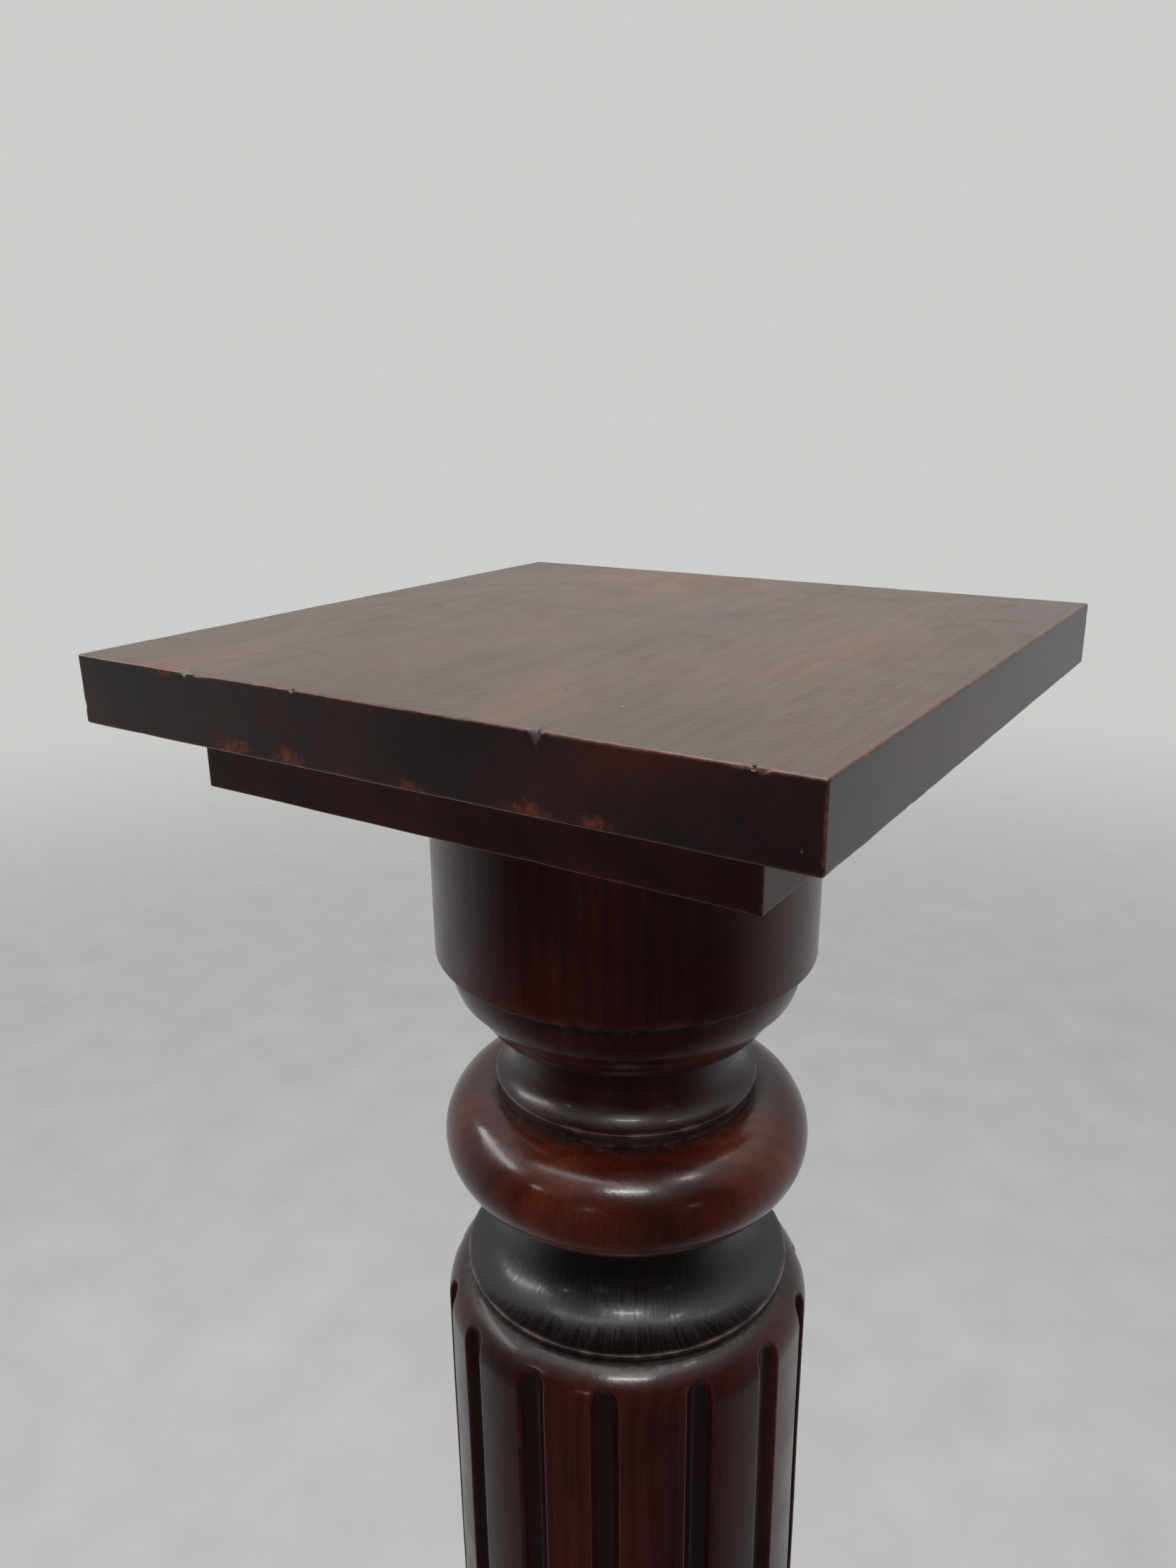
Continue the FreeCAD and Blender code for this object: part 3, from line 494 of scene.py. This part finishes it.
def spin(name, radius, height, angle, marks, material, node):
    """Sweep a closed outline round the column's axis; radius has a value for each point and each angle."""
    points, turns = radius.shape
    upright = np.repeat(height[:, None], turns, 1)
    places = np.stack([radius * np.cos(angle), radius * np.sin(angle), upright], -1).reshape(-1, 3)
    near = np.arange(points * turns).reshape(points, turns)
    above = np.roll(near, -1, 0)
    faces = np.stack([near, np.roll(near, -1, 1), np.roll(above, -1, 1), above], -1).reshape(-1, 4)
    spread = [(label, np.broadcast_to(values, (turns, points)).T.ravel() if values.ndim == 1
               else values.ravel()) for label, values in marks]
    return make_piece(name, places, faces, material, node, spread)


def unevenness(angle, height, lobes=0.12):
    """How far a hand-turned surface strays from true: slightly oval, and not the same all the way up."""
    return lobes * (np.cos(2 * angle + 0.7) + 0.5 * np.cos(3 * angle + height / 31)
                    + 0.35 * np.cos(5 * angle - height / 17)) - 2 * lobes


def spigot_rows():
    return [(BORE, -SPIGOT_LENGTH), (SPIGOT_RADIUS, -SPIGOT_LENGTH), (SPIGOT_RADIUS, 0)]


def socket_rows(top):
    return [(SOCKET_RADIUS, top), (SOCKET_RADIUS, top - SOCKET_DEPTH), (BORE, top - SOCKET_DEPTH)]


def turned_block(node, profile, material, ease=0.35, socket=True, dust_and_shade_joints=()):
    """A turned block of the column. dust_and_shade_joints lists (radius, height) of joints where the creases'
    painted shade and dust lie against it.
    """
    rows = spigot_rows() + list(profile) + (socket_rows(profile[-1][1]) if socket else [])
    line, edge, crease = outline(rows, ease)
    for joint in dust_and_shade_joints:
        crease = np.maximum(crease, np.exp(-(np.abs(line - complex(*joint)) / 2.6) ** 2))
    angle = np.arange(TURNS) * 2 * math.pi / TURNS
    foot = node_box(node)[0][2] + SPIGOT_LENGTH
    outside = np.clip((line.real - SPIGOT_RADIUS - 5) / 10, 0, 1)[:, None]
    radius = line.real[:, None] + outside * unevenness(angle, line.imag[:, None] + foot)
    return spin("polished_" + node, radius, line.imag + foot, angle,
                (("edge", edge), ("crease", crease)), material, node)


def smooth_max(a, b, width):
    blend = np.clip(width - np.abs(a - b), 0, None) / width
    return np.maximum(a, b) + blend ** 2 * width / 4


def fluted_shaft(material):
    """The shaft as a height field round the axis, with rounded shoulders and eased, round-nosed flutes."""
    low, high = node_box("fluted_shaft")
    foot = low[2] + SPIGOT_LENGTH
    tall = high[2] - foot
    # columns: close together across each flute, wider on the lands between
    centres = np.radians(FIRST_FLUTE + np.array(FLUTE_SHIFTS) + np.arange(len(FLUTE_SHIFTS)) * FLUTE_SPACING)
    across = np.radians(np.concatenate([np.arange(-FLUTE_REACH, -FLUTE_FLOOR, 0.25),
                                        np.arange(-FLUTE_FLOOR, FLUTE_FLOOR, 0.36),
                                        np.arange(FLUTE_FLOOR, FLUTE_REACH + 0.01, 0.25)]))
    angle = []
    for here, there in zip(centres, np.r_[centres[1:], centres[0] + 2 * math.pi]):
        angle += list(here + across)
        angle += list(np.linspace(here + across[-1], there + across[0], 9)[1:-1])
    angle = np.array(angle)
    # rows: round the shoulder, then close together past the flutes' ends, then wide
    bend = np.linspace(math.asin(SHOULDER_HEIGHT / SHOULDER_ROUND), 0, 34)
    start = np.r_[SHOULDER_HEIGHT - SHOULDER_ROUND * np.sin(bend),
                  np.arange(SHOULDER_HEIGHT + 0.5, 24.0, 0.5)]
    rows = np.r_[start, np.arange(27.0, tall / 2, 5.0)]
    rows = np.unique(np.round(np.r_[rows, tall - rows], 3))
    end_gap = np.minimum(rows, tall - rows)[:, None]
    over = np.clip(SHOULDER_HEIGHT - end_gap, 0, None)
    straying = unevenness(angle[None, :], rows[:, None] + foot, 0.14)
    tip = FLUTE_STOP + FLUTE_RADIUS
    past_tip = np.clip(tip - end_gap, 0, None)
    offset = np.min(np.abs((angle[:, None] - centres + math.pi) % (2 * math.pi) - math.pi), 1)[None, :]

    def bodies(r):
        """Distance outside the turned body, and inside the cutter, of points at radius r."""
        past_centre = np.clip(r - SHAFT_RADIUS + SHOULDER_ROUND, 0, None)
        turned = np.hypot(past_centre, over) - SHOULDER_ROUND - straying
        cutter = FLUTE_RADIUS - np.sqrt((r * np.cos(offset) - FLUTE_AXIS) ** 2
                                        + (r * np.sin(offset)) ** 2 + past_tip ** 2)
        return turned, cutter

    near, far = np.full((len(rows), len(angle)), 60.0), np.full((len(rows), len(angle)), SHAFT_RADIUS)
    for _ in range(HALVINGS):
        middle = (near + far) / 2
        outside = smooth_max(*bodies(middle), FLUTE_EDGE) > 0
        near, far = np.where(outside, near, middle), np.where(outside, middle, far)
    turned, cutter = bodies(near)
    edge = np.exp(-(np.abs(turned - cutter) / 0.9) ** 2 - (np.abs(turned) / 1.5) ** 2)
    hollow = np.clip(-turned / 4.0, 0, 1)
    # close the skin over the socket above and the spigot below
    ends = outline([(SHOULDER_EDGE, tall), *socket_rows(tall), *spigot_rows(), (SHOULDER_EDGE, 0)], 0.3)[0]
    inner = ends[ends.real < SHOULDER_EDGE - 1.0]
    radius = np.concatenate([near, np.repeat(inner.real[:, None], len(angle), 1)])
    height = np.r_[rows, inner.imag] + foot
    blank = np.zeros((len(inner), len(angle)))
    # crease: painted shade and dust at the shaft's ends, against the blocks above and below
    crease = np.exp(-(end_gap / 2.0) ** 2) * np.ones_like(near)
    marks = (("edge", np.concatenate([edge, blank])), ("hollow", np.concatenate([hollow, blank])),
             ("crease", np.concatenate([crease, blank])))
    return spin("polished_fluted_shaft", radius, height, angle, marks, material,
                "fluted_shaft")


def grid_lines(low, high, spots=(), step=4.0):
    """Grid lines along a board: close together at its arrises and near the given spots."""
    inset = np.array((0, 0.25, 0.5, 0.8, 1.2, 1.7, 2.4, 3.3, 4.5))
    lines = [low + inset, high - inset, np.arange(low + 6, high - 6, step)]
    lines += [np.arange(spot - 6, spot + 6, 0.6) for spot in spots]
    lines = np.unique(np.round(np.concatenate(lines), 2))
    return lines[np.r_[True, np.diff(lines) > 0.15]]


def box_shell(xs, ys, zs):
    """Points and faces of a box's six sides, on the given grid lines."""
    shape = (len(xs), len(ys), len(zs))
    shell = np.ones(shape, bool)
    shell[1:-1, 1:-1, 1:-1] = False
    index = np.full(shape, -1)
    index[shell] = np.arange(shell.sum())
    faces = []
    for axis in range(3):
        for end in (0, -1):
            side = np.take(index, end, axis)
            quads = np.stack([side[:-1, :-1], side[1:, :-1], side[1:, 1:], side[:-1, 1:]], -1).reshape(-1, 4)
            outward = (end == -1) != (axis == 1)
            faces.append(quads if outward else quads[:, ::-1])
    return np.stack(np.meshgrid(xs, ys, zs, indexing="ij"), -1)[shell], np.concatenate(faces)


def drill_shape(rows, ring, foot):
    """Four closed turned shapes on the diagonals, or one on the axis, to drill holes with."""
    places, faces, sides = [], [], 40
    turns = np.arange(sides) * 2 * math.pi / sides
    centres = [(0, 0)] if ring == 0 else [(ring * math.cos(math.radians(a)), ring * math.sin(math.radians(a)))
                                          for a in (45, 135, 225, 315)]
    for x, y in centres:
        first = len(places)
        for r, z in rows:
            places += [(x + r * math.cos(t), y + r * math.sin(t), foot + z) for t in turns]
        for level in range(len(rows) - 1):
            for n in range(sides):
                a, b = first + level * sides + n, first + level * sides + (n + 1) % sides
                faces.append((a, b, b + sides, a + sides))
        faces.append(tuple(range(first + sides - 1, first - 1, -1)))
        last = first + (len(rows) - 1) * sides
        faces.append(tuple(range(last, last + sides)))
    mesh = bpy.data.meshes.new("drill")
    mesh.from_pydata([Vector(p) * MM for p in places], [], faces)
    drill = bpy.data.objects.new("drill", mesh)
    bpy.context.scene.collection.objects.link(drill)
    return drill


def drill_holes(piece, holes, foot):
    """Cut each (rows, ring) hole out of a piece."""
    drills = [drill_shape(rows, ring, foot) for rows, ring in holes]
    for drill in drills:
        cut = piece.modifiers.new("drill", "BOOLEAN")
        cut.operation = "DIFFERENCE"
        cut.solver = "EXACT"
        cut.object = drill
    bpy.context.view_layer.update()
    drilled = bpy.data.meshes.new_from_object(piece.evaluated_get(bpy.context.evaluated_depsgraph_get()))
    piece.modifiers.clear()
    piece.data = drilled
    for drill in drills:
        bpy.data.objects.remove(drill)
    drilled.set_sharp_from_angle(angle=math.radians(38))
    return piece


def board(node, material, arris, wear, holes, notches=(), rubs=()):
    """A square board with arrises worn unevenly, notches knocked in its front edge, and its screw holes.

    A notch is (x, width, drop, inset): a V in the upper front arris. A rub is (x, y, z, reach).
    """
    low, high = node_box(node)
    places, faces = box_shell(grid_lines(low[0], high[0], [n[0] for n in notches]),
                              grid_lines(low[1], high[1]), grid_lines(low[2], high[2], step=3.0))
    slow = np.array([noise.noise(Vector(p) / 17) for p in places])
    quick = np.array([noise.noise(Vector(p) / 4.5 + Vector((7, 3, 5))) for p in places])
    radius = (arris * (1 + 0.45 * slow) + wear * np.clip(quick - 0.30, 0, None))[:, None]
    inner = np.clip(places, low + radius, high - radius)
    out = places - inner
    places = inner + out / np.linalg.norm(out, axis=1)[:, None] * radius

    def knocked(spots):
        """How deep each point lies in the nearest notch, from 0 to 1."""
        depth = np.zeros(len(spots))
        for x, width, drop, inset in notches:
            away = (np.abs(spots[:, 0] - x) / width + (high[2] - spots[:, 2]) / drop
                    + (spots[:, 1] - low[1]) / inset)
            depth = np.maximum(depth, np.clip(1 - away, 0, 1))
        return depth

    places += knocked(places)[:, None] * np.array((0, 1.7, -1.1))
    piece = make_piece("polished_" + node, places, faces, material, node)
    drill_holes(piece, holes, low[2])
    spots = np.empty(len(piece.data.vertices) * 3, np.float32)
    piece.data.vertices.foreach_get("co", spots)
    spots = spots.reshape(-1, 3) / MM
    second = np.sort(np.minimum(spots - low, high - spots), 1)[:, 1]
    edge = np.exp(-(second / 0.6) ** 2)
    chipped = np.clip(2 * knocked(spots), 0, 1)
    rubbed = np.zeros(len(spots))
    for x, y, z, reach in rubs:
        away = np.linalg.norm((spots - np.array((x, y, z))) / np.array((reach, 9, 6)), axis=1)
        rubbed = np.maximum(rubbed, np.exp(-away ** 2))
    mark_points(piece.data, (("edge", edge), ("rubbed", rubbed), ("chipped", chipped)))
    return piece


def felt_pads(material):
    """Four felt discs under the corners of the base, soft at their rims."""
    low, high = node_box("floor_pads")
    centre, thick = PAD_RING * math.sqrt(0.5), high[2] - low[2]
    sides, rim = 96, ((0.93, 0.0), (0.985, 0.12), (1.0, 0.4), (0.995, 0.75), (0.96, 0.97), (0.9, 1.0))
    places, faces = [], []
    for x, y in ((1, 1), (-1, 1), (-1, -1), (1, -1)):
        first = len(places)
        rings = [(share, 0.0) for share in (0.3, 0.6)] + list(rim) + [(share, 1.0) for share in (0.6, 0.3)]
        for share, level in rings:
            for n in range(sides):
                t = n * 2 * math.pi / sides
                fuzz = 0.12 * noise.noise(
                    Vector((x * 3 + math.cos(t) * 9, y * 3 + math.sin(t) * 9, level * 2)))
                r = share * PAD_RADIUS + min(0, fuzz - 0.06)
                places.append((x * centre + r * math.cos(t), y * centre + r * math.sin(t),
                               low[2] + level * thick))
        for level in range(len(rings) - 1):
            for n in range(sides):
                a, b = first + level * sides + n, first + level * sides + (n + 1) % sides
                faces.append((a, b, b + sides, a + sides))
        last = first + (len(rings) - 1) * sides
        for ring, flip in ((first, True), (last, False)):
            hub = len(places)
            places.append((x * centre, y * centre, low[2] if flip else high[2]))
            for n in range(sides):
                a, b = ring + n, ring + (n + 1) % sides
                faces.append((b, a, hub) if flip else (a, b, hub))
    mesh = bpy.data.meshes.new("felt_floor_pads")
    mesh.from_pydata([Vector(p) * MM for p in places], [], faces)
    return place_piece("felt_floor_pads", mesh, material, "floor_pads")


# ---------------------------------------------------------------- the plinth

drum_wood = turned_mahogany("french_polished_mahogany_drum", (140, 60, 0),
                            ("#230607", "#3a0d0b", "#52180f"), "#6f3c30", 0.4, 0.17)
# the neck's tones are painted darker than the drum's, as shade under the drum
neck_wood = turned_mahogany("french_polished_mahogany_neck", (-90, 150, 300),
                            ("#130607", "#240908", "#3a110b"), "#7d6a64", 0.6, 0.26)
torus_wood = turned_mahogany("french_polished_mahogany_torus", (120, -170, 700),
                             ("#35100b", "#4f1c12", "#74391f"), "#7d5244", 0.4, 0.15)
shaft_wood = turned_mahogany("french_polished_mahogany_shaft", (-160, 40, 90),
                             ("#270b0c", "#36110e", "#491b12"), "#57241c", 0.4, 0.17)
cove_wood = dark_cove_polish("shade_darkened_mahogany_cove", (60, 130, 500))
top_wood = worn_board_mahogany("worn_mahogany_display_board", "y", (30, 1290, 0),
                               ((0.32, "#4a3c32"), (0.47, "#503f34"), (0.58, "#584134"), (0.74, "#654432")),
                               ("#130607", "#220a09", "#3a110c"), 0.10)
PLAIN_TOP = ((0.36, "#1f0d0b"), (0.55, "#3a140f"), (0.75, "#532012"))
bearer_wood = worn_board_mahogany("mahogany_bearer", "x", (-1100, 60, 0), PLAIN_TOP,
                                  ("#300a09", "#42100d", "#561a10"), 0.0)
base_wood = worn_board_mahogany("mahogany_base_boards", "x", (-150, 40, 400), PLAIN_TOP,
                                ("#260b0a", "#38110d", "#4c1910"), 0.0)

turned_block("capital_drum", DRUM, drum_wood, socket=False, dust_and_shade_joints=((47.0, 0),))
turned_block("neck_collar", NECK, neck_wood, dust_and_shade_joints=((55.2, 0), (47.0, 34.0)))
turned_block("capital_torus", CAPITAL_TORUS, torus_wood, dust_and_shade_joints=((56.5, 45.2), (61.5, 1.0)))
turned_block("capital_cove", CAPITAL_COVE, cove_wood, dust_and_shade_joints=((50.5, 45.5), (71.0, 0)))
fluted_shaft(shaft_wood)
turned_block("base_cove", BASE_COVE, cove_wood, dust_and_shade_joints=((71.0, 49.5), (82.0, 0)))
turned_block("base_torus", BASE_TORUS, torus_wood, dust_and_shade_joints=((82.0, 50.0), (92.0, 0)))

# holes, as radius and height over the board's underside; the tie rod's holes are on the axis, ring 0
PILOT = ((SHANK, -OVERSHOOT), (SHANK, 19.5))
COUNTERSUNK = ((SCREW_HEAD + OVERSHOOT, -OVERSHOOT), (SCREW_HEAD, 0), (SCREW_HOLE, HEAD_DEPTH),
               (SCREW_HOLE, 60.0))
SOCKET_FLOOR = STEP_THICKNESS - SOCKET_DEPTH
STEP_SOCKET = ((BORE, -OVERSHOOT), (BORE, SOCKET_FLOOR), (SOCKET_RADIUS, SOCKET_FLOOR),
               (SOCKET_RADIUS, STEP_THICKNESS + OVERSHOOT))
NUT_WELL = ((NUT_WELL_RADIUS, -OVERSHOOT), (NUT_WELL_RADIUS, NUT_WELL_DEPTH), (BORE, NUT_WELL_DEPTH),
            (BORE, FOOT_THICKNESS + OVERSHOOT))
board("display_board", top_wood, 1.0, 2.4, [(PILOT, DISPLAY_RING)],
      notches=((57, 3.0, 4.6, 2.6), (-84, 2.6, 2.2, 4.0), (-34, 1.8, 1.1, 1.5), (121, 1.6, 1.2, 1.3)),
      rubs=((-62, -140, 1177, 16), (-38, -140, 1178, 14), (12, -140, 1176, 12), (54, -140, 1177, 14),
            (76, -140, 1177, 10), (-95, -138, 1200, 10)))
bearer_top = [(r, BEARER_THICKNESS - z) for r, z in COUNTERSUNK[:3]][::-1]
board("bearer", bearer_wood, 0.7, 1.2,
      [(COUNTERSUNK, DISPLAY_RING), ([(SCREW_HOLE, -OVERSHOOT)] + bearer_top, BEARER_RING)])
board("base_step", base_wood, 0.8, 1.6, [(PILOT, FOOT_RING), (STEP_SOCKET, 0)])
board("base_foot", base_wood, 0.8, 1.8, [(COUNTERSUNK, FOOT_RING), (NUT_WELL, 0)])
felt_pads(pressed_green_felt())

screw_metal, zinc = dulled_screw_steel(), zinc_plated_steel()
for node, metal in (("display_board_screws", screw_metal), ("bearer_screws", screw_metal),
                    ("base_foot_screws", screw_metal), ("tie_rod", zinc), ("tie_rod_washers", zinc),
                    ("tie_rod_nuts", zinc)):
    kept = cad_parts[node]
    for holder in kept.material_slots:
        holder.link = "OBJECT"
        holder.material = metal


# ---------------------------------------------------------------- floor, light and camera

PALE = "#cdcecb"

# name, azimuth and elevation in degrees, distance, width and height in metres, watts
LIGHTS = (
    ("left_windows", -65, 32, 2.6, 1.7, 0.34, 16),
    ("ceiling_panel", 32, 48, 2.4, 0.75, 0.16, 15),
    ("right_window", 85, 57, 2.6, 0.30, 0.22, 4),
    ("far_lamp_left", -22.6, 21.3, 2.6, 0.16, 0.12, 0.8),
    ("far_lamp_front", 9.5, 8.9, 2.6, 0.16, 0.12, 0.4),
    ("far_lamp_right", 68, 7.5, 2.6, 0.16, 0.12, 0.25),
    ("ceiling", 0, 88, 2.2, 2.4, 2.4, 60),
)

EYE = (0.2365, -0.3873, 1.2837)
YAW, PITCH, ROLL = 33.30, -17.96, -0.69
LENS = 27.39
FRAME_WIDTH = 36.0


def pale_floor():
    """A wide matt floor that fades into the backdrop's tone far from the plinth."""
    material, tree = new_material("pale_studio_floor")
    place = add(tree, "TexCoord")
    away = add(tree, "VectorMath", {"operation": "LENGTH"}, {0: place.outputs["Object"]})
    fade = add(tree, "MapRange", {"interpolation_type": "SMOOTHSTEP", "From Min": 1.4, "From Max": 5.0},
               {"Value": away.outputs["Value"]})
    speckle = add(tree, "TexNoise", {"Scale": 9.0, "Detail": 6.0}, {"Vector": place.outputs["Object"]})
    tone = add(tree, "ValToRGB", {"stops": ((0.3, "#a4a5a3"), (0.7, "#abacaa"))}, {"Fac": speckle})
    matt = add(tree, "BsdfDiffuse", links={"Color": tone})
    far_tone = add(tree, "Emission", {"Color": PALE})
    finish_surface(tree, add(tree, "MixShader", links={0: fade.outputs[0], 1: matt, 2: far_tone}))
    mesh = bpy.data.meshes.new("studio_floor")
    reach = 60.0
    mesh.from_pydata([(-reach, -reach, 0), (reach, -reach, 0), (reach, reach, 0), (-reach, reach, 0)], [],
                     [(0, 1, 2, 3)])
    mesh.materials.append(material)
    floor = bpy.data.objects.new("studio_floor", mesh)
    bpy.context.scene.collection.objects.link(floor)
    floor.visible_glossy = False


def soft_room():
    """Light from all round, as in a pale room: bright walls behind and beside, dim towards the front."""
    world = bpy.data.worlds.new("soft_room")
    world.use_nodes = True
    tree = world.node_tree
    tree.nodes.clear()
    toward = add(tree, "TexCoord").outputs["Generated"]
    front = add(tree, "VectorMath", {"operation": "DOT_PRODUCT", 1: (0.45, -0.87, -0.2)}, {0: toward})
    wall = add(tree, "MapRange", {"interpolation_type": "SMOOTHSTEP", "From Min": -0.35, "From Max": 0.6,
                                  "To Min": 0.46, "To Max": 0.04}, {"Value": front.outputs["Value"]})
    height = add(tree, "SeparateXYZ", links={0: toward})
    ceiling = add(tree, "MapRange", {"interpolation_type": "SMOOTHSTEP", "From Min": 0.25, "From Max": 0.95,
                                     "To Min": 0.0, "To Max": 0.55}, {"Value": height.outputs["Z"]})
    total = add(tree, "Math", {"operation": "ADD"}, {0: wall, 1: ceiling})
    room = add(tree, "Background", {"Color": "#fbfdff"}, {"Strength": total})
    backdrop = add(tree, "Background", {"Color": PALE})
    seen = add(tree, "LightPath").outputs["Is Camera Ray"]
    mix = add(tree, "MixShader", links={0: seen, 1: room, 2: backdrop})
    add(tree, "OutputWorld", links={"Surface": mix})
    bpy.context.scene.world = world


def soft_box(name, azimuth, elevation, distance, width, height, power):
    a, e = math.radians(azimuth), math.radians(elevation)
    back = Vector((math.sin(a) * math.cos(e), -math.cos(a) * math.cos(e), math.sin(e)))
    data = bpy.data.lights.new(name, "AREA")
    data.shape = "RECTANGLE"
    data.size, data.size_y, data.energy = width, height, power
    light = bpy.data.objects.new(name, data)
    light.location = Vector((0, 0, 1.0)) + back * distance
    light.rotation_mode = "QUATERNION"
    light.rotation_quaternion = (-back).to_track_quat("-Z", "Y")
    light.visible_camera = False
    bpy.context.scene.collection.objects.link(light)


def camera():
    """Eye height a little above the board, looking down at the capital."""
    data = bpy.data.cameras.new("camera")
    data.sensor_width = FRAME_WIDTH
    data.lens = LENS
    eye = bpy.data.objects.new("camera", data)
    yaw, pitch, roll = (math.radians(x) for x in (YAW, PITCH, ROLL))
    turn = (Matrix.Rotation(yaw, 4, "Z") @ Matrix.Rotation(math.pi / 2 + pitch, 4, "X")
            @ Matrix.Rotation(roll, 4, "Z"))
    eye.matrix_world = Matrix.Translation(EYE) @ turn
    bpy.context.scene.collection.objects.link(eye)
    bpy.context.scene.camera = eye


pale_floor()
soft_room()
for light in LIGHTS:
    soft_box(*light)
camera()
bpy.context.scene.view_settings.view_transform = "Standard"
